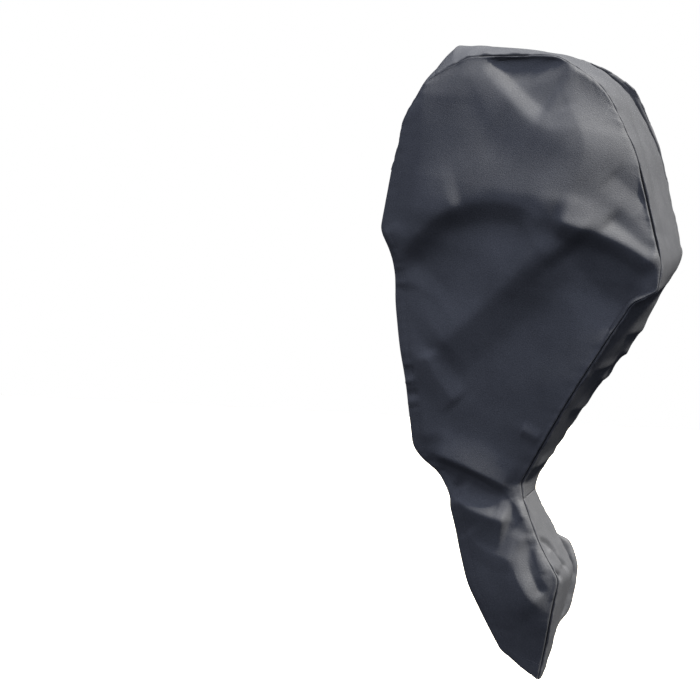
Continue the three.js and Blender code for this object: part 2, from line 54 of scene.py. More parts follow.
# The side panels at large. A level is a share of the way down a panel.
PANEL_HEIGHT = 1000  # about, from level 0 to level 1
TOP_LENGTH = 330  # of the top seam
TOP_BLEND = 0.1  # levels over which lines down the panel spread from the top seam's length
ARCH_REACH = 0.3  # level down to which those lines follow the top seam's arch
ARCH_FADE = 2.2  # power with which they leave it
TOP_ROUNDING = 0.13  # level where the panel has rounded over to its full width
FRONT_ROUNDING = 0.046  # the same in the panel's front quarter
FRONT_QUARTER = [0.2, 0.45]  # share across the panel where the one gives way to the other
FRONT_FULLNESS = 0.9  # power: the less, the fuller the panel's front half
BACK_BREAK = 1.25  # power: the less, the sharper the turn into the back quarter
BACK_FULLNESS = 0.9  # power: the less, the fuller the back quarter

# How finely the cloth is divided.
ROW_STEP = 3.8  # down a panel
COLUMNS = 116  # across a panel, between its edges' close lines
GUSSET_COLUMNS = 44
EDGE_LINES = [0, 0.25, 0.6, 1.1, 1.8, 2.6, 3.6, 5.0, 7.0, 10.0, 14.0]  # close lines beside an edge
HEMMED_EDGE_LINES = [*EDGE_LINES, HEM_STITCH, HEM]
TURNED_LINES = [2.0, 4.5, 7.0, ALLOWANCE]  # down a turned-in allowance
HEM_LINES = [0.0, 3.0, 10.0, 21.0, HEM]  # back along a hem's second layer
PATH_STEPS = 10  # along each straight or rounded stretch of a path
CORNER_CUTS = 3  # rounds in which the corners of a fold's path are cut

# The seam between a side panel and the gusset, in the panel's own plane, from the gusset's front end,
# over the top and down to the tip. at: a level, or on the top a share of the top seam. round: how far
# before a corner its rounding starts. half: from the middle plane out to the seam. crown: how far the
# gusset arches out between its seams. lean: how much further out the far seam hangs than the near one.
SEAM_COLUMNS = "at x z round half crown lean"
FRONT_SEAM = [
    (0.2, -221, -197, 0, 86, -2, 0),
    (0.165, -211, -162, 20, 89, 5, 0),
    (0.12, -197, -110, 18, 91, 14, 0),
    (0.05, -163, -57, 14, 92, 20, 1),
    (0.0, -146, -37, 0, 92, 21, 2),
]
TOP_SEAM = [
    (0.0, -146, -37, 0, 92, 22, 2),
    (0.112, -112, -23, 4, 94, 38, 0),
    (0.19, -88, -10, 7, 95, 21, 0),
    (0.27, -62, -7, 10, 96, 14, 0),
    (0.47, 5, -6, 25, 99, 9, -2),
    (0.64, 66, -6, 14, 101, 3, -9),
    (0.82, 113, -34, 20, 102, 5, -11),
    (1.0, 149, -63, 0, 102, 7, -11),
]
BACK_SEAM = [
    (0.0, 149, -63, 0, 102, 7, -11),
    (0.05, 174, -112, 22, 101, 8, -9),
    (0.1, 199, -163, 20, 100, 7, -7),
    (0.17, 218, -238, 25, 100, 6, -6),
    (0.27, 244, -340, 10, 104, 7, -9),
    (0.285, 242, -362, 6, 105, 7, -14),
    (0.305, 239, -386, 5, 106, 5, -26),
    (0.325, 214, -399, 6, 107, 8, -10),
    (0.34, 198, -407, 10, 107, 13, 0),
    (0.41, 157, -468, 30, 105, 15, 8),
    (0.51, 92, -569, 35, 95, 9, 2),
    (0.6, 40, -655, 30, 76, 6, 0),
    (0.67, 1, -721, 4, 59, 2, 0),
    (0.7, 4, -747, 4, 57, 1, -11),
    (0.735, 17, -782, 15, 57, 2, -7),
    (0.77, 31, -819, 25, 57, 3, -1),
    (0.84, 67, -883, 12, 56, 4, -4),
    (0.9, 52, -944, 25, 46, 3, -2),
    (0.96, 36, -1012, 25, 25, 2, 0),
    (1.0, 21, -1068, 0, 14, 1, 0),
]
GUSSET_END = 0.2  # level of the gusset's front end
CORNER_REACH = 30  # over which the seam's route is rounded where one of these tables meets the next
LEAN_SPREAD = 13  # lines along the gusset over which the direction of the far seam's lean is evened out
NECK_LEVEL = 0.7  # where the upper gusset ends and the leg's gusset begins

# The open front edge of a side panel, from the gusset's end down. gap: from the middle plane.
EDGE_COLUMNS = "at x z round gap"
FRONT_EDGE = [
    (0.2, -221, -197, 0, 86),
    (0.24, -231, -242, 20, 80),
    (0.285, -243, -297, 8, 72),
    (0.325, -227, -334, 14, 66),
    (0.36, -218, -375, 14, 68),
    (0.4, -219, -416, 20, 73),
    (0.47, -212, -494, 30, 70),
    (0.52, -203, -552, 25, 64),
    (0.59, -195, -626, 20, 61),
    (0.625, -191, -668, 12, 59),
    (0.645, -175, -688, 10, 58),
    (0.67, -144, -711, 14, 58),
    (0.7, -123, -744, 14, 63),
    (0.78, -111, -834, 30, 52),
    (0.84, -98, -903, 20, 42),
    (0.9, -70, -962, 20, 36),
    (1.0, -42, -1016, 0, 30),
]

# Half the cover's width at its widest, down each side panel, where across each panel that is, and how
# far the far panel swells out over its seam.
BELLY_COLUMNS = "at near far near_across far_across over_seam"
BELLY = [
    (0.0, 102, 104, 0.62, 0.62, 17),
    (0.06, 121, 119, 0.7, 0.64, 16),
    (0.1, 128, 124, 0.78, 0.65, 12),
    (0.14, 134, 129, 0.77, 0.66, 9),
    (0.18, 136, 131, 0.72, 0.67, 6),
    (0.24, 137, 132, 0.68, 0.68, 3),
    (0.31, 122, 117, 0.6, 0.58, 0),
    (0.38, 101, 106, 0.5, 0.46, 0),
    (0.5, 93, 96, 0.38, 0.38, 0),
    (0.6, 84, 87, 0.4, 0.4, 0),
    (0.65, 81, 80, 0.48, 0.46, 0),
    (0.68, 71, 70, 0.68, 0.5, 2),
    (0.7, 65, 66, 0.86, 0.6, 3),
    (0.73, 63, 72, 0.94, 0.64, 4),
    (0.75, 63, 76, 0.94, 0.66, 5),
    (0.765, 64, 78, 0.92, 0.66, 6),
    (0.778, 66, 81, 0.88, 0.66, 9),
    (0.79, 68, 85, 0.84, 0.66, 18),
    (0.8, 70, 90, 0.8, 0.66, 27),
    (0.812, 72, 95, 0.76, 0.66, 28),
    (0.84, 75, 98, 0.7, 0.66, 21),
    (0.88, 69, 94, 0.63, 0.66, 25),
    (0.905, 59, 82, 0.61, 0.63, 26),
    (0.918, 54, 75, 0.6, 0.62, 20),
    (0.93, 49, 68, 0.6, 0.6, 7),
    (0.97, 36, 38, 0.5, 0.5, 4),
    (1.0, 28, 28, 0.5, 0.5, 0),
]
BELLY_ROUND = 20  # how far before a row the run from one width to the next starts to bend
SWELL_REACH = 18  # from the seam to where the swelling over it is greatest
SWELL_FROM = 0.5  # share across the panel where it begins
SWELL_RISE = 0.3  # share over which it grows

# The folds of each panel: x and z along the crest or trough, from the front towards the back or from
# above downwards, then its rise (into the panel where negative), how far its flanks reach to the left
# and to the right of someone who walks along it, seen from the near side, and how round its crest is.
NEAR_FOLDS = {
    "hood's lower edge, front": (
        [(-206, -353), (-188, -328), (-160, -297), (-128, -268), (-89, -249), (-42, -241), (2, -245),
         (44, -260), (84, -283)],
        12, 100, 40, 0.14,
    ),
    "fullness above the front corner": (
        [(-218, -362), (-191, -324), (-160, -292), (-118, -262), (-80, -250)], 7, 70, 24, 0.12,
    ),
    "hood's lower edge, back": (
        [(70, -266), (119, -284), (150, -293), (185, -309), (212, -325), (242, -348)], 17, 44, 30, 0.12,
    ),
    "hollow under the back lip": ([(78, -316), (112, -358), (152, -394), (200, -420)], -23, 84, 56, 0.3),
    "hollow under the hood": (
        [(-190, -384), (-156, -334), (-112, -299), (-62, -282), (-10, -279), (40, -296)], -11, 36, 80, 0.3,
    ),
    "sling down to the front edge": (
        [(85, -294), (50, -324), (16, -357), (-16, -386), (-44, -413), (-80, -444), (-113, -472),
         (-150, -505)],
        21, 62, 72, 0.12,
    ),
    "break before the back quarter": (
        [(63, -10), (78, -48), (88, -85), (92, -125), (95, -165), (96, -207), (91, -247), (88, -272)],
        8, 96, 110, 0.16,
    ),
    "foot of the brow": (
        [(-54, -8), (-24, -53), (-2, -87), (26, -114), (60, -127), (104, -124), (150, -131), (204, -166)],
        4.5, 40, 70, 0.1,
    ),
    "dimple below the top seam": (
        [(-46, -4), (-34, -20), (-9, -44), (16, -66), (40, -86), (62, -99)], -10, 84, 24, 0.12,
    ),
    "second dimple": ([(52, -6), (66, -41), (77, -76), (87, -100)], -3, 22, 36, 0.35),
    "first strain at the back seam": (
        [(160, -196), (180, -213), (200, -229), (222, -248)], -4.5, 24, 28, 0.2,
    ),
    "second strain at the back seam": (
        [(156, -266), (176, -281), (194, -295), (211, -309), (238, -327)], -9, 22, 32, 0.25,
    ),
    "front quarter": (
        [(-160, -40), (-164, -96), (-165, -163), (-169, -212), (-176, -290)], 5, 120, 46, 0.06,
    ),
    "streak on the hood": (
        [(-118, -30), (-108, -50), (-91, -96), (-67, -153), (-38, -208)], 0.6, 26, 34, 0.4,
    ),
    "streak on the waist": ([(-158, -498), (-146, -526), (-130, -554), (-100, -588)], 8, 30, 36, 0.1),
    "ridge behind the front corner": (
        [(-236, -292), (-224, -312), (-214, -331), (-205, -348), (-203, -374), (-204, -402)],
        8, 34, 20, 0.06,
    ),
    "ridge behind the front edge": (
        [(-166, -488), (-166, -530), (-167, -570), (-166, -615), (-160, -664)], 8, 46, 27, 0.15,
    ),
    "bump in the belly": ([(6, -624), (22, -631), (38, -641)], 5, 15, 15, 0.2),
    "roll over the neck": (
        [(-150, -674), (-116, -682), (-89, -692), (-62, -704), (-39, -715), (-12, -730)], 12, 48, 14, 0.05,
    ),
    "neck valley": ([(-118, -728), (-97, -739), (-70, -751), (-50, -757), (-32, -763)], -7, 28, 18, 0.08),
    "pucker below the neck": ([(-8, -742), (2, -760), (10, -782)], 4, 8, 14, 0.1),
    "facet below the neck": (
        [(-116, -742), (-100, -756), (-82, -767), (-56, -776), (-28, -783), (-14, -787)], 19, 36, 50, 0.06,
    ),
    "leg's front crease": (
        [(-96, -806), (-80, -825), (-68, -836), (-42, -845), (-4, -852)], 5, 44, 26, 0.05,
    ),
    "leg's long ridge": (
        [(10, -800), (2, -818), (-7, -841), (-8, -862), (2, -888), (19, -913), (40, -935)], 6, 22, 50, 0.06,
    ),
    "valley beside that ridge": (
        [(20, -812), (15, -838), (17, -861), (27, -885), (42, -912)], -5, 14, 16, 0.15,
    ),
    "ridge beside the heel": ([(27, -822), (36, -846), (48, -872)], 4, 16, 12, 0.15),
}
FAR_FOLDS = {
    "hood's lower edge": (
        [(-205, -334), (-110, -276), (0, -260), (95, -284), (165, -316), (240, -346)],
        15, 80, 40, 0.2,
    ),
    "hollow under the hood": ([(-165, -356), (-60, -310), (70, -320), (200, -370)], -15, 40, 70, 0.4),
    "sling down to the front edge": ([(110, -334), (-20, -420), (-180, -504)], 10, 60, 60, 0.25),
    "dimple below the top seam": ([(-22, -18), (-12, -79), (10, -144)], -11, 50, 50, 0.3),
    "strain at the back seam": ([(150, -224), (192, -250), (226, -278)], -7, 24, 26, 0.2),
    "bulge over the neck": ([(-110, -670), (-50, -684), (4, -698)], 8, 56, 30, 0.3),
    "neck crease": ([(-138, -696), (-70, -718), (-8, -746)], -13, 32, 26, 0.15),
    "fold below the neck": ([(-92, -774), (-56, -784), (-20, -790)], 7, 30, 26, 0.15),
    "dip in the leg": ([(-10, -834), (-20, -899), (-60, -944)], -7, 36, 36, 0.3),
}
FOLD_STAYS_OFF_SEAM = 9  # folds die out over this much beside a seam
FOLD_END = 0.14  # share of a fold's path over which it dies out at each end
FOLD_LEFT_AT_ENDS = 0.25  # of its rise
FOLD_FOOT = 0.1  # how round the flanks of a sharp fold run out, as a share of its rise

# The gusset's folds down the back: the level and the share across (-1 at the near seam, 1 at the far
# one) along each, then as above. Left is towards the near seam for someone who walks down the back.
GUSSET_FOLDS = {
    "crease down the back": (
        [(0.03, -0.15), (0.1, -0.36), (0.19, -0.42), (0.26, -0.38)], -4, 24, 34, 0.12,
    ),
    "first crinkle": ([(0.394, -0.5), (0.391, 0.1), (0.4, 0.8)], 2.5, 10, 22, 0.15),
    "second crinkle": ([(0.43, 0.0), (0.438, 0.4), (0.444, 0.8)], 3.5, 9, 17, 0.1),
    "third crinkle": ([(0.458, -0.8), (0.45, -0.1)], 3, 10, 18, 0.12),
    "fourth crinkle": ([(0.477, -0.2), (0.482, 0.3), (0.478, 0.8)], 3.5, 9, 18, 0.1),
    "fifth crinkle": ([(0.528, -0.6), (0.534, 0.0), (0.53, 0.6)], 2.5, 12, 30, 0.15),
    "crinkle over the neck": ([(0.64, -0.8), (0.63, 0.1), (0.622, 0.6)], 4, 10, 22, 0.12),
    "tuck in the leg": (
        [(0.768, -0.84), (0.78, -0.33), (0.795, -0.1), (0.815, -0.08), (0.834, 0.3)], -7, 15, 6, 0.06,
    ),
    "bulge beside the tuck": ([(0.787, -0.72), (0.804, -0.5), (0.826, -0.4)], 4.5, 14, 14, 0.2),
    "notch at the heel": ([(0.824, -0.98), (0.838, -0.62)], -10, 9, 7, 0.15),
}

# Where a seam's two edges part a little: run, from, to, and the gap.
SEAM_PARTS = {
    "near": [
        ("top", 0.02, 0.09, 1.2), ("top", 0.11, 0.21, 2.0), ("top", 0.24, 0.52, 3.0),
        ("back", 0.11, 0.27, 3.8), ("back", 0.31, 0.68, 2.6), ("back", 0.85, 0.99, 2.2),
    ],
    "far": [("back", 0.71, 0.93, 4.0)],
}
PART_FADE = 0.03  # level or share over which a parting closes
SEAM_ROLL = 2.4  # radius with which the cloth rolls into a seam
PUCKERS = [(19, 0.9, 15), (7, 0.6, 7)]  # gathers along a seam: period, rise, reach away from it
SEAM_END_FADE = 14  # over which a seam's roll and welt end beside the open edge
HEM_LIFT = 0.7  # of the hem's double layer
HEM_STEP = 4  # over which the cloth comes down from it
HEM_ROLL = 2  # over which it comes up to it from the folded edge
HEM_GROOVE = 0.6  # at its stitches
HEM_GROOVE_REACH = 2.2  # to each side of them
HEM_GATHERS = [(0.3, 0.39, 0.9), (0.48, 0.58, 2.6), (0.62, 0.7, 0.8)]  # levels between, and height
HEM_GATHERS_ELSEWHERE = 0.25  # their height along the rest of the edge
HEM_GATHER_FADE = 0.02  # levels over which a group of them grows
HEM_GATHER_PERIOD = 8  # along the edge
HEM_GATHER_SLANT = 0.35  # along the edge for each millimetre in from it
HEM_GATHER_REACH = 1.7  # in from the edge, as a share of the way to the stitches
WELT_PLACE = 3.2  # from a seam to the crest of the ridge that its allowances raise
WELT_RISE = 1.2
DRIFT_PERIOD = 85  # of the cloth's slow unevenness
DRIFT_RISE = 1.1
WAVE_PLACE = 0.5  # where the lines of noise for gathers are read, across them
TINY = 1e-6
ACROSS = np.array([1.0, 0])  # in a sheet's cut
DOWN = np.array([0, 1.0])

# Seeds of the uneven noise in the side panels, in the gusset and beside its two seams, and what is
# added to them for each kind of pucker and for the hem's gathers.
PANEL_SEEDS = {"near": 3.0, "far": 8.0}
GUSSET_SEED = 15.0
GUSSET_SEAM_SEEDS = {"near": 21.0, "far": 27.0}
PUCKER_SEED_STEP = 3
HEM_SEED_STEP = 40

STITCH_PITCH = 4.4
STITCH_LENGTH = 3.3
STITCH_THICKNESS = 0.6
STITCH_SIDES = 6
# Along one stitch: share of its length, thickness and height over the cloth as shares of its thickness.
STITCH_SECTIONS = [(0, 0.35, -0.35), (0.25, 0.9, 0.12), (0.5, 1, 0.2), (0.75, 0.9, 0.12), (1, 0.35, -0.35)]
NECK_STITCHING = [2.4, 9.2]  # from the cross seam at the neck up to its two rows of stitches
STITCHES_START = 4  # close lines of the gusset, beside each seam, that a row across it leaves free

# The cloth and the thread. A noise has its size, its detail and the roughness of that detail.
THREAD_PITCH = 1.1  # of the weave, two threads
WEAVE_HEIGHT = 0.05
GRAIN_NOISE = (1.9, 2.0, 0.6)
GRAIN_HEIGHT = 0.45
TONE_NOISE = (60, 4.0, 0.6)  # the slow changes of tone
SPECKLE_NOISE = (2.4, 1.0, 0.5)  # the threads' own unevenness of colour
TONE_RANGE = (0.55, 1.45)  # of these two together, from the cloth's dark colour to its light one
CLOTH_DARK = (0.036, 0.037, 0.040, 1)
CLOTH_LIGHT = (0.066, 0.067, 0.070, 1)
GLOSS_NOISE = (20, 3.0, 0.5)
CLOTH_ROUGHNESS = (0.52, 0.68)  # between these
CLOTH_SPECULAR = 0.28
THREAD_TWIST = 600  # bands of a thread's twist in a metre, about
THREAD_RELIEF = 0.1
# Painted shade and highlight of the thread: its colour runs from the first in the twist's grooves to the
# second on its ridges.
THREAD_PAINTED_GROOVE_SHADE = (0.03, 0.031, 0.034, 1)
THREAD_PAINTED_RIDGE_LIGHT = (0.085, 0.086, 0.09, 1)
THREAD_ROUGHNESS = 0.45

# The floor, the camera and the light.
FLOOR_SIZE = 9000
FLOOR_LEVEL = -1320  # the cover is held up over it, as it is when worn
FLOOR_DARK = (0.84, 0.79, 0.68, 1)
FLOOR_LIGHT = (0.88, 0.83, 0.72, 1)
FLOOR_PATCHES = 3  # in a metre, about
CAMERA_PLACE = (1.027559, -3.834904, -0.036523)
CAMERA_AIM = (-0.290169, -0.099638, -0.502116)
CAMERA_LENS = 121.0
SUN_DIRECTION = (0.60, -0.045, 0.80)
SUN_STRENGTH = 12.8
SUN_COLOUR = (1.0, 0.97, 0.90)
SUN_WIDTH = 8  # degrees
FILL_DIRECTION = (-0.36, 0.91, 0.2)  # of a weak soft light on the far side and into the open front
FILL_STRENGTH = 2.4
FILL_WIDTH = 50
SKY_DIRECTION = (0.06, -0.38, 0.92)  # towards the brightest part of the sky
SKY_COLOUR = (0.85, 0.93, 1.2, 1)
SKY_SPAN = (-0.15, 1.0)  # along that direction, from the darkest part to the brightest
SKY_STRENGTH = (0.04, 1.62)  # at its darkest and its brightest


def mix(a, b, t):
    return a + (b - a) * t


def smooth(t):
    c = np.clip(t, 0, 1)
    return c * c * (3 - 2 * c)


def unit(v):
    return v / np.linalg.norm(v, axis=-1, keepdims=True)


def dot(a, b):
    return (a * b).sum(axis=-1, keepdims=True)


def lengths_along(line):
    """How far along a line of points each of them lies."""
    step = np.linalg.norm(np.diff(line, axis=0), axis=1)
    return np.concatenate([[0], np.cumsum(step)])


def rounded_path(columns, rows, spacing=None):
    """A path through a table's rows with its corners rounded: each column as an array of close values.
    Spacing gives the rows' places where the table has no x and z."""
    names = columns.split()
    points = np.array(rows, float)
    place = points[:, [names.index("x"), names.index("z")]] if spacing is None else spacing(points)
    bend = points[:, names.index("round")] if "round" in names else np.full(len(points), BELLY_ROUND)
    length = np.hypot(*np.diff(place, axis=0).T)
    steps = np.arange(1, PATH_STEPS + 1) / PATH_STEPS
    out = [points[0]]
    for i in range(1, len(points) - 1):
        before, here, after = points[i - 1 : i + 2]
        enter = mix(here, before, min(bend[i], length[i - 1] / 2) / length[i - 1])
        leave = mix(here, after, min(bend[i], length[i] / 2) / length[i])
        start = out[-1]
        out += [mix(start, enter, t) for t in steps]
        out += [mix(mix(enter, here, t), mix(here, leave, t), t) for t in steps]
    start = out[-1]
    out += [mix(start, points[-1], t) for t in steps]
    return dict(zip(names, np.array(out).T))


def rows_at(path, values):
    """The columns of a path at the given values of its column at."""
    order = np.argsort(path["at"], kind="stable")
    return {name: np.interp(values, path["at"][order], column[order]) for name, column in path.items()}


EDGE_PATH = rounded_path(EDGE_COLUMNS, FRONT_EDGE)
BELLY_PATH = rounded_path(BELLY_COLUMNS, BELLY, lambda rows: rows[:, [1, 0]] * [1, PANEL_HEIGHT])


def level_lines():
    """The levels of a panel's rows, close beside its top and bottom edges."""
    close = np.array(EDGE_LINES) / PANEL_HEIGHT
    stops = [close[-1], GUSSET_END, NECK_LEVEL, 1 - HEM / PANEL_HEIGHT]
    rows = [close]
    for start, stop in zip(stops, stops[1:]):
        count = round((stop - start) * PANEL_HEIGHT / ROW_STEP)
        rows.append(np.linspace(start, stop, count + 1)[1:])
    bottom = 1 - np.array([HEM_STITCH, *EDGE_LINES[::-1]]) / PANEL_HEIGHT
    return np.concatenate([*rows, bottom])


def shares_across(width, first_lines, columns):
    """The shares across a sheet at which its columns lie, a row for each width: the first ones at these
    distances from its edge, then this many steps to the close ones beside its other edge."""
    width = np.atleast_1d(width)[:, None]
    close = np.array(first_lines) / width
    last = 1 - np.array(EDGE_LINES[::-1]) / width
    inner = mix(close[:, -1:], last[:, :1], np.arange(1, columns) / columns)
    return np.concatenate([close, inner, last], axis=1)


LEVELS = level_lines()
TOP_SHARES = shares_across(TOP_LENGTH, HEMMED_EDGE_LINES, COLUMNS)[0]
GUSSET_END_ROW = int(np.argmin(abs(LEVELS - GUSSET_END)))
SEWN_ROWS = slice(GUSSET_END_ROW + 1)  # of a panel, whose front edge is sewn to the gusset


def round_corner(s, corner):
    """Round the gusset's route where two of its runs meet."""
    walked = lengths_along(np.stack([s["x"], s["z"]], axis=1))
    t = (walked - walked[corner]) / CORNER_REACH / 2 + 0.5
    inside = (t > 0) & (t < 1)
    t = t[inside]
    for key in ("x", "z"):
        ends = np.interp(walked[corner] + np.array([-CORNER_REACH, CORNER_REACH]), walked, s[key])
        s[key][inside] = (1 - t) ** 2 * ends[0] + 2 * t * (1 - t) * s[key][corner] + t**2 * ends[1]


def spread(values, count):
    """The running mean of an array's rows over this many of them."""
    window = np.ones(count)
    weight = np.convolve(np.ones(len(values)), window, "same")
    return np.stack([np.convolve(column, window, "same") / weight for column in values.T], axis=1)


def stations():
    """The lines of points along the gusset and its two seams, from its front end to the tip."""
    runs = [
        ("front", FRONT_SEAM, LEVELS[GUSSET_END_ROW:0:-1]),
        ("top", TOP_SEAM, TOP_SHARES),
        ("back", BACK_SEAM, LEVELS[1:]),
    ]
    parts = [rows_at(rounded_path(SEAM_COLUMNS, table), at) for _, table, at in runs]
    s = {name: np.concatenate([part[name] for part in parts]) for name in parts[0]}
    s["run"] = np.concatenate([[name] * len(at) for name, _, at in runs])
    for name in ("top", "back"):
        round_corner(s, int(np.argmax(s["run"] == name)))
    middle = np.stack([s["x"], 0 * s["x"], s["z"]], axis=1)
    s["along"] = unit(np.gradient(middle, axis=0))
    s["out"] = np.stack([-s["along"][:, 2], 0 * s["x"], s["along"][:, 0]], axis=1)
    s["near"] = middle - s["half"][:, None] * [0, 1, 0]
    outwards = unit(spread(s["out"], LEAN_SPREAD))
    s["far"] = middle + s["half"][:, None] * [0, 1, 0] + s["lean"][:, None] * outwards
    s["walked"] = lengths_along(middle)
    return s


STATIONS = stations()
TOP_START = int(np.argmax(STATIONS["run"] == "top"))
BACK_START = int(np.argmax(STATIONS["run"] == "back"))
NECK_STATION = BACK_START + int(np.argmin(abs(STATIONS["at"][BACK_START:] - NECK_LEVEL)))


def parting(side):
    """How far a seam's two edges lie apart at each of its points."""
    gap = np.full(len(STATIONS["x"]), float(SEAM_GAP))
    for run, start, end, most in SEAM_PARTS[side]:
        at = STATIONS["at"]
        share = smooth((at - start) / PART_FADE) * smooth((end - at) / PART_FADE)
        gap += (most - SEAM_GAP) * share * (STATIONS["run"] == run)
    return gap


def seam_frame(side):
    """At each point of a seam: the way in which both pieces' allowances are turned, half way between
    the panel and the gusset, and the step across from that plane to the panel's edge."""
    along = unit(np.gradient(STATIONS[side], axis=0))
    across = np.array([0, 1.0 if side == "near" else -1.0, 0])
    across = unit(across - dot(along, across) * along)
    into = np.cross(along, across)
    into *= np.where(dot(into, STATIONS["out"]) > 0, -1, 1)
    return unit(into + across), unit(into - across) * parting(side)[:, None] / 2


SEAMS = {side: seam_frame(side) for side in ("near", "far")}


def wave(values, period, seed):
    """Smooth uneven noise along a line, between about -1 and 1."""
    return np.array([2 * noise.noise(Vector((v / period, seed, WAVE_PLACE))) for v in values])


def roll_in(distance, radius=SEAM_ROLL):
    """How far a point this far from an edge has sunk, where the cloth rolls over into a seam."""
    short = np.clip(radius - distance, 0, radius)
    return radius - np.sqrt(np.maximum(radius**2 - short**2, 0))


def softened(path):
    """A fold's path with its corners cut, each time a quarter of the way to the next one."""
    points = np.array(path, float)
    for _ in range(CORNER_CUTS):
        a, b = points[:-1], points[1:]
        cut = np.stack([mix(a, b, 0.25), mix(a, b, 0.75)], axis=1).reshape(-1, 2)
        points = np.concatenate([points[:1], cut[1:-1], points[-1:]])
    return points


def fold_height(fold, x, z):
    """The height of one fold at points of the panel's plane: straight flanks from a rounded crest."""
    path, rise, left, right, crest = fold
    points = softened(path)
    best = np.full(x.shape, np.inf)
    side = np.zeros(x.shape)
    walked_at = np.zeros(x.shape)
    walked = 0.0
    for (ax, az), (bx, bz) in zip(points, points[1:]):
        length = math.hypot(bx - ax, bz - az)
        dx, dz = (bx - ax) / length, (bz - az) / length
        t = np.clip((x - ax) * dx + (z - az) * dz, 0, length)
        ox, oz = x - ax - dx * t, z - az - dz * t
        distance = np.hypot(ox, oz)
        nearer = distance < best
        best = np.where(nearer, distance, best)
        side = np.where(nearer, (dx * oz - dz * ox) / np.maximum(distance, TINY), side)
        walked_at = np.where(nearer, walked + t, walked_at)
        walked += length
    share = walked_at / walked
    reach = mix(right, left, (1 + side) / 2)
    ends = smooth(share / FOLD_END) * smooth((1 - share) / FOLD_END)
    down = (np.hypot(best / reach, crest) - crest) / (math.hypot(1, crest) - crest)
    foot = FOLD_FOOT + crest
    flank = (1 - down + np.hypot(1 - down, foot)) / (1 + math.hypot(1, foot))
    return rise * mix(FOLD_LEFT_AT_ENDS, 1, ends) * flank


def roundness(share, widest):
    """How a side panel's half width runs from its front rim over its widest place to its back seam."""
    front = np.sin(np.pi / 2 * np.clip(share / widest, 0, 1)) ** FRONT_FULLNESS
    back = np.clip((share - widest) / (1 - widest), 0, 1)
    return np.where(share < widest, front, (1 - back**BACK_BREAK) ** BACK_FULLNESS)


def normals_of(grid, flip):
    """The way out of a sheet at each point of its grid, whose rows run down it. Flip says that its
    columns run the other way."""
    down = np.gradient(grid, axis=0)
    across = np.gradient(grid, axis=1)
    return unit(np.cross(down, across)) * (-1 if flip else 1)


def drift(grid, seed):
    """The cloth's slow unevenness at each point of a grid."""
    flat = grid.reshape(-1, 3)
    heights = [noise.noise(Vector(p / DRIFT_PERIOD) + Vector((seed, 0, 0))) for p in flat]
    return DRIFT_RISE * np.array(heights).reshape(grid.shape[:2])


def add_object(name, data):
    """A new object of a mesh, a light or a camera, in the scene."""
    made = bpy.data.objects.new(name, data)
    bpy.context.scene.collection.objects.link(made)
    return made


def mesh_object(name, points, faces):
    """A smoothly shaded object from its points, in millimetres, and its faces."""
    mesh = bpy.data.meshes.new(name)
    mesh.from_pydata((points * MM).tolist(), [], faces)
    mesh.polygons.foreach_set("use_smooth", np.ones(len(mesh.polygons), bool))
    return add_object(name, mesh)


def sheet_object(name, grid, uv, strips, flip):
    """A thin sheet from its outer face's grid and the strips turned in at its edges, each a grid that
    shares the sheet's edge."""
    points, places, faces = [], [], []
    start = 0
    for block, block_uv in [(grid, uv), *strips]:
        rows, columns = block.shape[:2]
        ids = start + np.arange(rows * columns).reshape(rows, columns)
        quads = np.stack([ids[:-1, :-1], ids[1:, :-1], ids[1:, 1:], ids[:-1, 1:]], axis=-1).reshape(-1, 4)
        points.append(block.reshape(-1, 3))
        places.append(block_uv.reshape(-1, 2))
        faces.append(quads[:, ::-1] if flip else quads)
        start += rows * columns
    piece = mesh_object(name, np.concatenate(points), np.concatenate(faces).tolist())
    layer = piece.data.uv_layers.new(name="Cut")
    flat = np.concatenate(places) * MM
    corners = np.zeros(len(piece.data.loops), np.int32)
    piece.data.loops.foreach_get("vertex_index", corners)
    layer.data.foreach_set("uv", flat[corners].astype(np.float32).ravel())
    weld = piece.modifiers.new("weld", "WELD")
    weld.merge_threshold = WELD * MM
    thick = piece.modifiers.new("cloth", "SOLIDIFY")
    thick.thickness = CLOTH * MM
    thick.offset = -1
    thick.use_quality_normals = True
    return piece


def lines_at(grid, offsets, distances):
    """Lines of a grid (first axis) at the given distances from its edge, between its own lines."""
    out = []
    for d in distances:
        i = int(np.clip(np.searchsorted(offsets, d), 1, len(offsets) - 1))
        t = (d - offsets[i - 1]) / (offsets[i] - offsets[i - 1])
        out.append(mix(grid[i - 1], grid[i], t))
    return np.array(out)


def turned_strip(edge, turned, uv_edge, uv_out):
    """The allowance: lines from a seam's edge inwards, with their places in the cut. Edge and turned have
    a row for each point."""
    depths = np.array([0, *TURNED_LINES])[:, None, None]
    return edge[None] + turned[None] * depths, uv_edge[None] + uv_out * depths[..., :1]


def hem_strip(offsets, *sheet):
    """A hem's second layer, round the folded edge and back along the inside, with its places in the cut.
    The sheet's points, normals and places come as lines along its open edge, with their offsets from it."""
    lines, normals, uv_lines = (lines_at(part, offsets, HEM_LINES) for part in sheet)
    inner = lines - normals * HEM_GAP
    edge = mix(lines[:1], inner[:1], 0.5) + unit(lines[:1] - lines[1:2]) * HEM_GAP / 2
    block = np.concatenate([lines[:1], edge, inner])
    uv_edge = 2 * uv_lines[:1] - uv_lines
    return block, np.concatenate([uv_lines[:1], uv_lines[:1], uv_edge])


def reverse(parts):
    """The grids of a sheet or strip with their lines in the opposite order."""
    return tuple(part[::-1] for part in parts)


def upright(parts):
    """The grids of a sheet or strip with their lines as columns instead of rows."""
    return tuple(part.transpose(1, 0, 2) for part in parts)


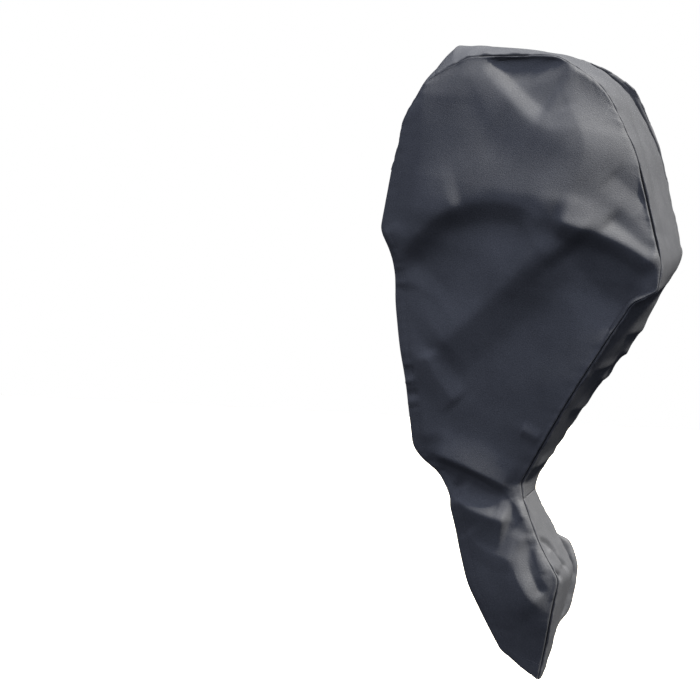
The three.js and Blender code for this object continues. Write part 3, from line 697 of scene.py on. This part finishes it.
def beside_seam(distance, walked, seed):
    """The cloth's height beside a seam: small gathers across it, and the welt along it. Distance and
    walked are broadcast against each other."""
    height = WELT_RISE * np.exp(-(((distance - WELT_PLACE) / WELT_PLACE) ** 2))
    for i, (period, rise, reach) in enumerate(PUCKERS):
        gathers = rise * wave(walked.ravel(), period, seed + PUCKER_SEED_STEP * i).reshape(walked.shape)
        height = height + gathers * np.exp(-distance / reach)
    return height * smooth(distance / SEAM_ROLL)


def hem_relief(distance, walked, level, seed):
    """The cloth's height beside an open edge: the double layer, the groove at its stitches, and the
    gathers that slant across it."""
    double = HEM_LIFT * smooth((HEM_STITCH - distance) / HEM_STEP) * smooth(distance / HEM_ROLL + 0.5)
    groove = -HEM_GROOVE * np.exp(-(((distance - HEM_STITCH) / HEM_GROOVE_REACH) ** 2))
    strength = np.full(level.shape, HEM_GATHERS_ELSEWHERE)
    for start, end, most in HEM_GATHERS:
        grown = smooth((level - start) / HEM_GATHER_FADE) * smooth((end - level) / HEM_GATHER_FADE)
        strength += most * grown
    slanted = (walked + HEM_GATHER_SLANT * distance) / HEM_GATHER_PERIOD
    fine = wave(slanted.ravel(), 1.0, seed + HEM_SEED_STEP).reshape(distance.shape)
    window = smooth(distance / HEM_STEP) * smooth((HEM_STITCH * HEM_GATHER_REACH - distance) / HEM_STITCH)
    return double + groove + strength * fine * window


def panel_layout(side):
    """A side panel's edges as lines of points, where its other points lie between them, and how far off
    each of them is from its front edge, its back seam and its top seam."""
    p = SimpleNamespace(sign=-1 if side == "near" else 1, flip=side == "far")
    p.turned, step = SEAMS[side]
    seam = STATIONS[side] + step
    p.top_ids = TOP_START + np.arange(len(TOP_SHARES))
    p.back_ids = p.top_ids[-1] + np.arange(len(LEVELS))
    p.front_ids = TOP_START - np.arange(GUSSET_END_ROW + 1)
    edge = rows_at(EDGE_PATH, np.maximum(LEVELS, GUSSET_END))
    p.left = np.stack([edge["x"], p.sign * edge["gap"], edge["z"]], axis=1)
    p.left[SEWN_ROWS] = seam[p.front_ids]
    p.right = seam[p.back_ids]
    p.top = seam[p.top_ids]
    reach = np.hypot(p.right[:, 0] - p.left[:, 0], p.right[:, 2] - p.left[:, 2])
    width = mix(TOP_LENGTH, reach, smooth(LEVELS / TOP_BLEND))
    p.level = LEVELS[:, None]
    p.share = shares_across(width, HEMMED_EDGE_LINES, COLUMNS)
    p.off_front = p.share * width[:, None]
    p.off_back = (1 - p.share) * width[:, None]
    p.off_top = p.level * PANEL_HEIGHT + 0 * p.share
    p.quiet = smooth(p.off_back / FOLD_STAYS_OFF_SEAM) * smooth(p.off_top / FOLD_STAYS_OFF_SEAM)
    p.quiet[SEWN_ROWS] *= smooth(p.off_front[SEWN_ROWS] / FOLD_STAYS_OFF_SEAM)
    return p


def seam_swell(p, most):
    """How the far panel's points move where it swells out over its seam."""
    off = np.minimum(p.off_back, p.off_top) / SWELL_REACH
    swell = most * off * np.exp(1 - off) * smooth((p.share - SWELL_FROM) / SWELL_RISE)
    out = STATIONS["out"][p.back_ids][:, None] * (p.off_top[..., None] + 1)
    out = out + STATIONS["out"][p.top_ids][None] * (p.off_back[..., None] + 1)
    return swell[..., None] * unit(out)


def panel_form(side, p):
    """The points of a side panel's outer face with its folds, without its fine relief."""
    section = {name: column[:, None] for name, column in rows_at(BELLY_PATH, LEVELS).items()}
    arch = np.maximum(0, 1 - p.level / ARCH_REACH) ** ARCH_FADE
    bow = p.top - mix(p.top[:1], p.top[-1:], TOP_SHARES[:, None])
    x = mix(p.left[:, :1], p.right[:, :1], p.share) + arch * bow[:, 0]
    z = mix(p.left[:, 2:], p.right[:, 2:], p.share) + arch * bow[:, 2]
    widest = section[side + "_across"]
    rim = abs(np.where(p.share < widest, p.left[:, 1:2], p.right[:, 1:2]))
    half = mix(rim, section[side], roundness(p.share, widest))
    quarter = smooth((p.share - FRONT_QUARTER[0]) / (FRONT_QUARTER[1] - FRONT_QUARTER[0]))
    rounding = 1 - np.maximum(0, 1 - p.level / mix(FRONT_ROUNDING, TOP_ROUNDING, quarter)) ** 2
    half = mix(abs(p.top[:, 1]), half, rounding)
    folds = NEAR_FOLDS if side == "near" else FAR_FOLDS
    half = half + p.quiet * sum(fold_height(fold, x, z) for fold in folds.values())
    grid = np.stack([x, p.sign * half, z], axis=2)
    if side == "far":
        grid += seam_swell(p, section["over_seam"])
    grid[0] = p.top
    grid[SEWN_ROWS, 0] = p.left[SEWN_ROWS]
    grid[:, -1] = p.right
    return grid


def add_panel_relief(side, p, grid):
    """Add the cloth's unevenness, its puckers and welts, its hem and its roll into the seams to the
    points of a side panel. What the front seam adds fades out where the open edge begins."""
    seed = PANEL_SEEDS[side]
    normal = normals_of(grid, p.flip)
    grid += normal * (drift(grid, seed) * p.quiet)[..., None]
    walked = STATIONS["walked"]
    fading = smooth((GUSSET_END - LEVELS) * PANEL_HEIGHT / SEAM_END_FADE)[:, None]
    back = beside_seam(p.off_back, walked[p.back_ids][:, None], seed) * smooth(p.off_top / CORNER_REACH)
    top = beside_seam(p.off_top, walked[p.top_ids][None], seed) * smooth(p.off_back / CORNER_REACH)
    hem = hem_relief(p.off_front, lengths_along(p.left)[:, None], p.level, seed) * (1 - fading)
    height = back + top + hem
    sewn = p.off_front[SEWN_ROWS]
    height[SEWN_ROWS] += beside_seam(sewn, walked[p.front_ids][:, None], seed) * fading[SEWN_ROWS]
    grid += normal * height[..., None]
    roll = roll_in(p.off_back)[..., None] * p.turned[p.back_ids][:, None]
    roll += (roll_in(p.off_top) * (p.off_top <= p.off_back))[..., None] * p.turned[p.top_ids][None]
    roll[SEWN_ROWS] += (roll_in(sewn) * fading[SEWN_ROWS])[..., None] * p.turned[p.front_ids][:, None]
    grid += roll


def side_panel(side):
    """One side panel, from its open front edge to its back seam and from its top seam to the tip: its
    object, and its outer face's points and normals."""
    p = panel_layout(side)
    grid = panel_form(side, p)
    add_panel_relief(side, p, grid)
    normal = normals_of(grid, p.flip)
    uv = np.stack([p.off_front, p.off_top], axis=2)
    sheet = (grid, normal, uv)
    front = turned_strip(grid[SEWN_ROWS, 0], p.turned[p.front_ids], uv[SEWN_ROWS, 0], -ACROSS)
    open_front = upright(part[GUSSET_END_ROW:] for part in sheet)
    strips = [
        upright(turned_strip(grid[:, -1], p.turned[p.back_ids], uv[:, -1], ACROSS)),
        reverse(turned_strip(grid[0], p.turned[p.top_ids], uv[0], -DOWN)),
        upright(reverse(front)),
        upright(reverse(hem_strip(p.off_front[-1], *open_front))),
        hem_strip((1 - LEVELS[::-1]) * PANEL_HEIGHT, *reverse(sheet)),
    ]
    return sheet_object("side_panel_" + side + "_cloth", grid, uv, strips, p.flip), grid, normal


def along_gusset(path, *shape):
    """A fold of the gusset with its path in lengths: across it from its middle, and down it."""
    back = {key: STATIONS[key][BACK_START:] for key in ("at", "walked", "half")}
    at, places = np.array(path).T
    down = np.interp(at, back["at"], back["walked"])
    aside = places * np.interp(at, back["at"], back["half"])
    return (np.stack([aside, down], axis=1), *shape)


def gusset(name, first, last):
    """A stretch of the gusset, from one station to another: its object, its outer face's points and
    normals, and how far along the gusset its lines lie."""
    ids = np.arange(first, last + 1)
    s = {key: column[ids] for key, column in STATIONS.items()}
    turned = {}
    edge = {}
    for side, (ways, steps) in SEAMS.items():
        turned[side] = ways[ids]
        edge[side] = s[side] - steps[ids]
    width = np.linalg.norm(edge["far"] - edge["near"], axis=1)[:, None]
    share = shares_across(width[:, 0], EDGE_LINES, GUSSET_COLUMNS)
    across = 2 * share - 1
    off = {"near": share * width, "far": (1 - share) * width}
    quiet = smooth(off["near"] / FOLD_STAYS_OFF_SEAM) * smooth(off["far"] / FOLD_STAYS_OFF_SEAM)
    walked = s["walked"][:, None] + 0 * share
    arch = s["crown"][:, None] * (1 - across**2)
    for fold in GUSSET_FOLDS.values():
        arch = arch + quiet * fold_height(along_gusset(*fold), across * width / 2, walked)
    grid = mix(edge["near"][:, None], edge["far"][:, None], share[..., None])
    grid = grid + arch[..., None] * s["out"][:, None]
    normal = normals_of(grid, False)
    grid += normal * (drift(grid, GUSSET_SEED) * quiet)[..., None]
    for side, seed in GUSSET_SEAM_SEEDS.items():
        grid += normal * beside_seam(off[side], s["walked"][:, None], seed)[..., None]
        grid += roll_in(off[side])[..., None] * turned[side][:, None]
    normal = normals_of(grid, False)
    uv = np.stack([off["near"], walked], axis=2)
    strips = [
        upright(reverse(turned_strip(grid[:, 0], turned["near"], uv[:, 0], -ACROSS))),
        upright(turned_strip(grid[:, -1], turned["far"], uv[:, -1], ACROSS)),
    ]
    for end, step in ((first, 1), (last, -1)):
        sheet = [part[::step] for part in (grid, normal, uv)]
        if end == NECK_STATION:
            strip = turned_strip(sheet[0][0], -sheet[1][0], sheet[2][0], 0 * DOWN)
        else:
            strip = hem_strip(abs(s["walked"] - STATIONS["walked"][end])[::step], *sheet)
        strips.append(reverse(strip) if end == first else strip)
    return sheet_object(name, grid, uv, strips, False), grid, normal, s["walked"]


panel_near = side_panel("near")
panel_far = side_panel("far")
gusset_upper = gusset("gusset_upper_cloth", 0, NECK_STATION)
gusset_leg = gusset("gusset_leg_cloth", NECK_STATION, len(STATIONS["x"]) - 1)


def stitches(name, line, normals):
    """A row of stitches along a line on the cloth, as one piece."""
    walked = lengths_along(line)
    share, thick, lift = np.array(STITCH_SECTIONS).T
    starts = np.arange(STITCH_PITCH / 2, walked[-1] - STITCH_LENGTH, STITCH_PITCH)
    places = starts[:, None] + share * STITCH_LENGTH
    centre = np.stack([np.interp(places, walked, line[:, i]) for i in range(3)], axis=-1)
    up = unit(np.stack([np.interp(places, walked, normals[:, i]) for i in range(3)], axis=-1))
    along = unit(centre[:, -1:] - centre[:, :1])
    aside = unit(np.cross(along, up))
    centre = centre + up * (lift * STITCH_THICKNESS)[:, None]
    angle = np.arange(STITCH_SIDES) * 2 * np.pi / STITCH_SIDES
    ring = np.cos(angle)[:, None] * aside[:, :, None] + np.sin(angle)[:, None] * up[:, :, None]
    points = centre[:, :, None] + ring * (thick * STITCH_THICKNESS / 2)[:, None, None]
    rings = len(share)
    ids = np.arange(len(starts) * rings * STITCH_SIDES).reshape(len(starts), rings, STITCH_SIDES)
    beside = np.roll(ids, -1, axis=2)
    quads = np.stack([ids[:, :-1], beside[:, :-1], beside[:, 1:], ids[:, 1:]], axis=-1).reshape(-1, 4)
    ends = [*ids[:, 0, ::-1].tolist(), *ids[:, -1].tolist()]
    return mesh_object(name, points.reshape(-1, 3), quads.tolist() + ends)


def hem_stitches(side, panel):
    """The stitches of a side panel's hem: down its open front edge and along its bottom edge."""
    column = len(EDGE_LINES)
    row = len(LEVELS) - len(EDGE_LINES) - 1
    lines = [
        np.concatenate([part[GUSSET_END_ROW : row + 1, column], part[row, column + 1 :]])
        for part in panel[1:]
    ]
    return stitches("side_panel_" + side + "_hem_stitches", *lines)


def end_stitches(name, strip, distance, from_end):
    """A row of stitches across the gusset, this far from one of its ends."""
    _, grid, normal, walked = strip
    step = -1 if from_end else 1
    offsets = abs(walked - walked[::step][0])[::step]
    lines = [lines_at(part[::step], offsets, [distance])[0] for part in (grid, normal)]
    return stitches(name, *(line[STITCHES_START:-STITCHES_START] for line in lines))


def new_material(name):
    """A material, its nodes and its links."""
    material = bpy.data.materials.new(name)
    material.use_nodes = True
    return material, material.node_tree.nodes, material.node_tree.links


def colour_between(nodes, links, dark, light, share):
    """Give the shader a colour that goes from dark to light with a node's value."""
    colour = nodes.new("ShaderNodeMix")
    colour.data_type = "RGBA"
    colour.inputs["A"].default_value = dark
    colour.inputs["B"].default_value = light
    links.new(share, colour.inputs["Factor"])
    links.new(colour.outputs["Result"], nodes["Principled BSDF"].inputs["Base Color"])


def raise_surface(nodes, links, height, distance):
    """Raise the surface as the shader sees it, by this distance where a node's value is 1."""
    bump = nodes.new("ShaderNodeBump")
    bump.inputs["Distance"].default_value = distance
    links.new(height, bump.inputs["Height"])
    links.new(bump.outputs["Normal"], nodes["Principled BSDF"].inputs["Normal"])


def map_range(nodes, links, value, source=(0, 1), target=(0, 1)):
    """A node that takes a value from one range to another."""
    node = nodes.new("ShaderNodeMapRange")
    node.inputs["From Min"].default_value, node.inputs["From Max"].default_value = source
    node.inputs["To Min"].default_value, node.inputs["To Max"].default_value = target
    links.new(value, node.inputs["Value"])
    return node


def thread_material():
    """Dark polyester sewing thread: a slightly shiny strand with its twist as a fine slanting ridge, its
    colour darker in the twist's grooves as painted shade and lighter on its ridges as painted highlight.
    """
    material, nodes, links = new_material("thread")
    place = nodes.new("ShaderNodeTexCoord")
    twist = nodes.new("ShaderNodeTexWave")
    twist.inputs["Scale"].default_value = THREAD_TWIST
    twist.bands_direction = "DIAGONAL"
    links.new(place.outputs["Object"], twist.inputs["Vector"])
    raise_surface(nodes, links, twist.outputs["Fac"], THREAD_RELIEF * MM)
    # Painted shade in the twist's grooves and painted highlight on its ridges, following the same bands as
    # its relief.
    colour_between(nodes, links, THREAD_PAINTED_GROOVE_SHADE, THREAD_PAINTED_RIDGE_LIGHT, twist.outputs["Fac"])
    nodes["Principled BSDF"].inputs["Roughness"].default_value = THREAD_ROUGHNESS
    return material


def cloth_material():
    """Coated plain-woven cloth: a fine weave, an uneven grain that shows where light grazes it, and
    slow changes of tone and gloss."""
    material, nodes, links = new_material("coated_cloth")
    shader = nodes["Principled BSDF"]
    place = nodes.new("ShaderNodeUVMap")
    place.uv_map = "Cut"
    split = nodes.new("ShaderNodeSeparateXYZ")
    links.new(place.outputs["UV"], split.inputs[0])

    def math_node(operation, *values):
        node = nodes.new("ShaderNodeMath")
        node.operation = operation
        for socket, value in zip(node.inputs, values):
            if isinstance(value, (int, float)):
                socket.default_value = value
            else:
                links.new(value, socket)
        return node.outputs["Value"]

    def noise_node(size, detail, roughness):
        node = nodes.new("ShaderNodeTexNoise")
        node.inputs["Scale"].default_value = 1 / (size * MM)
        node.inputs["Detail"].default_value = detail
        node.inputs["Roughness"].default_value = roughness
        links.new(place.outputs["UV"], node.inputs["Vector"])
        return node.outputs["Fac"]

    turn = 2 * math.pi / (THREAD_PITCH * MM)
    threads = [math_node("SINE", math_node("MULTIPLY", split.outputs[axis], turn)) for axis in "XY"]
    weave = math_node("MULTIPLY", math_node("MULTIPLY", *threads), WEAVE_HEIGHT)
    grain = math_node("MULTIPLY", noise_node(*GRAIN_NOISE), GRAIN_HEIGHT)
    raise_surface(nodes, links, math_node("ADD", weave, grain), MM)
    colours = math_node("ADD", noise_node(*TONE_NOISE), noise_node(*SPECKLE_NOISE))
    tone = map_range(nodes, links, colours, source=TONE_RANGE)
    colour_between(nodes, links, CLOTH_DARK, CLOTH_LIGHT, tone.outputs["Result"])
    gloss = map_range(nodes, links, noise_node(*GLOSS_NOISE), target=CLOTH_ROUGHNESS)
    links.new(gloss.outputs["Result"], shader.inputs["Roughness"])
    shader.inputs["Specular IOR Level"].default_value = CLOTH_SPECULAR
    return material


cloth = cloth_material()
thread = thread_material()
SHEETS = {
    "side_panel_near": (panel_near[0], [hem_stitches("near", panel_near)]),
    "side_panel_far": (panel_far[0], [hem_stitches("far", panel_far)]),
    "gusset_upper": (gusset_upper[0], [
        end_stitches("gusset_front_hem_stitches", gusset_upper, HEM_STITCH, False),
        end_stitches("neck_seam_stitches_lower", gusset_upper, NECK_STITCHING[0], True),
        end_stitches("neck_seam_stitches_upper", gusset_upper, NECK_STITCHING[1], True),
    ]),
    "gusset_leg": (gusset_leg[0], [
        end_stitches("gusset_tip_hem_stitches", gusset_leg, HEM_STITCH, True),
    ]),
}
for node, (piece, sewing) in SHEETS.items():
    piece.data.materials.append(cloth)
    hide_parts(node)
    for row in sewing:
        row.data.materials.append(thread)
    for each in [piece, *sewing]:
        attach(each, "root")


def make_camera():
    camera = add_object("camera", bpy.data.cameras.new("camera"))
    camera.data.lens = CAMERA_LENS
    camera.location = CAMERA_PLACE
    aim = Vector(CAMERA_AIM) - Vector(CAMERA_PLACE)
    camera.rotation_euler = aim.to_track_quat("-Z", "Y").to_euler()
    bpy.context.scene.camera = camera


def make_floor():
    """A plain pale floor, which doesn't throw light back on to the cover."""
    half = FLOOR_SIZE / 2
    corners = [(x * half, y * half, FLOOR_LEVEL) for x, y in ((-1, -1), (1, -1), (1, 1), (-1, 1))]
    floor = mesh_object("floor", np.array(corners), [(0, 1, 2, 3)])
    floor.visible_diffuse = False
    floor.visible_glossy = False
    material, nodes, links = new_material("pale_floor")
    patches = nodes.new("ShaderNodeTexNoise")
    patches.inputs["Scale"].default_value = FLOOR_PATCHES
    colour_between(nodes, links, FLOOR_DARK, FLOOR_LIGHT, patches.outputs["Fac"])
    floor.data.materials.append(material)


def make_lamp(name, direction, strength, width):
    """A distant light from this direction, its disc this many degrees wide."""
    lamp = add_object(name, bpy.data.lights.new(name, "SUN"))
    lamp.rotation_euler = Vector(direction).to_track_quat("Z", "Y").to_euler()
    lamp.data.energy = strength
    lamp.data.angle = math.radians(width)
    return lamp


def make_sky():
    """A cool sky that is brightest in one direction, and plain white where the camera sees it."""
    world = bpy.data.worlds.new("sky")
    bpy.context.scene.world = world
    world.use_nodes = True
    nodes, links = world.node_tree.nodes, world.node_tree.links
    sky = nodes["Background"]
    sky.inputs["Color"].default_value = SKY_COLOUR
    place = nodes.new("ShaderNodeTexCoord")
    along = nodes.new("ShaderNodeVectorMath")
    along.operation = "DOT_PRODUCT"
    along.inputs[1].default_value = SKY_DIRECTION
    links.new(place.outputs["Generated"], along.inputs[0])
    strength = map_range(nodes, links, along.outputs["Value"], SKY_SPAN, SKY_STRENGTH)
    strength.interpolation_type = "SMOOTHSTEP"
    links.new(strength.outputs["Result"], sky.inputs["Strength"])
    white = nodes.new("ShaderNodeBackground")
    white.inputs["Color"].default_value = (1, 1, 1, 1)
    rays = nodes.new("ShaderNodeLightPath")
    both = nodes.new("ShaderNodeMixShader")
    links.new(rays.outputs["Is Camera Ray"], both.inputs["Fac"])
    links.new(sky.outputs[0], both.inputs[1])
    links.new(white.outputs[0], both.inputs[2])
    links.new(both.outputs[0], nodes["World Output"].inputs["Surface"])


make_camera()
make_floor()
sun = make_lamp("sun", SUN_DIRECTION, SUN_STRENGTH, SUN_WIDTH)
sun.data.color = SUN_COLOUR
fill = make_lamp("fill", FILL_DIRECTION, FILL_STRENGTH, FILL_WIDTH)
fill.visible_glossy = False
make_sky()
bpy.context.scene.view_settings.view_transform = "Standard"
